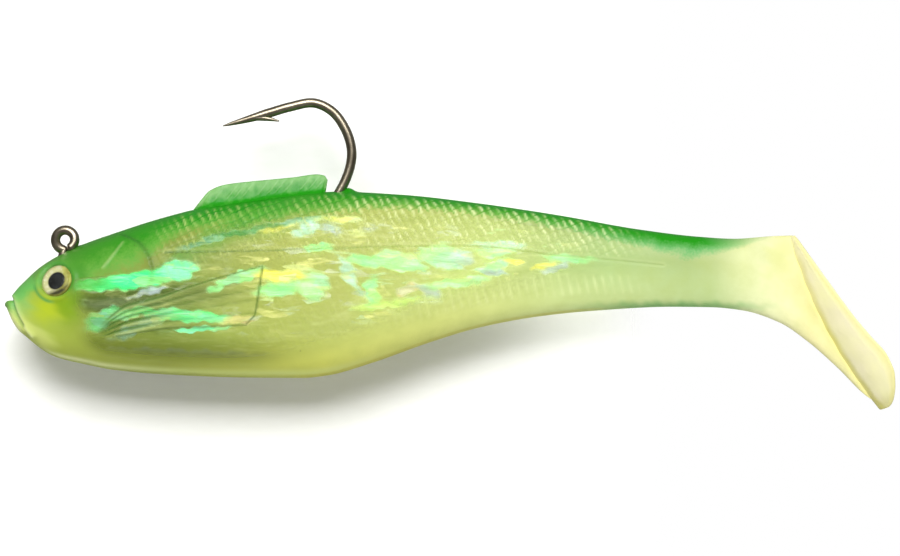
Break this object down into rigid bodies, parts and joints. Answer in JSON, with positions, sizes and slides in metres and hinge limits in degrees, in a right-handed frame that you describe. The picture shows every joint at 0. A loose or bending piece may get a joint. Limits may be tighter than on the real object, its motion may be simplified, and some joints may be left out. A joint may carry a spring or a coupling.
{
  "type": "soft swimbait lure",
  "caption": "Shad-shaped soft fishing lure with an internal keel weight, an upward-riding jig hook, a line-tie ring, foil flash, set-in eyes and a boot-shaped paddle tail that kicks.",
  "frame": {"origin": "centre of the line-tie ring that stands out of the top of the head, where the bait hangs from its line", "axes": "+X from the nose towards the tail, +Z towards the back, +Y towards the bait's right flank; the bait is upright, as it swims"},
  "size_m": [0.1096, 0.0142, 0.0386],
  "materials": {
    "soft_body": "translucent glossy plastisol, green back and yellow-olive flanks",
    "soft_tail": "translucent glossy plastisol, pale yellow",
    "soft_fin": "translucent glossy plastisol, green",
    "lead": "dull cast lead",
    "hook_wire": "black nickel plate with a bronze tint",
    "foil": "crumpled iridescent foil",
    "iris": "gold foil print",
    "pupil": "gloss black",
    "lens": "clear epoxy dome"
  },
  "bodies": {
    "body": {"soft_body": "soft_body", "lead_weight": "lead", "line_tie_ring": "hook_wire", "hook_shank": "hook_wire", "hook_bend": "hook_wire", "hook_point": "hook_wire", "foil_left": "foil", "foil_right": "foil", "eye_iris_left": "iris", "eye_iris_right": "iris", "eye_pupil_left": "pupil", "eye_pupil_right": "pupil", "eye_lens_left": "lens", "eye_lens_right": "lens"},
    "tail": {"tail_stem": "soft_tail"},
    "paddle": {"tail_paddle": "soft_tail"},
    "fin": {"dorsal_fin": "soft_fin"}
  },
  "joints": [
    {"name": "tail_wag", "type": "hinge", "parent": "body", "child": "tail", "pos_m": [0.066, 0, -0.003], "axis": [0, 0, 1], "range_deg": [-35, 35], "stiffness_Nm_per_rad": 0.0004},
    {"name": "paddle_kick", "type": "hinge", "parent": "tail", "child": "paddle", "pos_m": [0.0902, 0, 0.0006], "axis": [0.4573, 0, -0.8893], "range_deg": [-25, 25], "stiffness_Nm_per_rad": 0.0001},
    {"name": "dorsal_fin_fold", "type": "hinge", "parent": "body", "child": "fin", "pos_m": [0.0164, 0, 0.00425], "axis": [0.9911, 0, 0.1334], "range_deg": [-40, 40], "stiffness_Nm_per_rad": 0.00002}
  ]
}
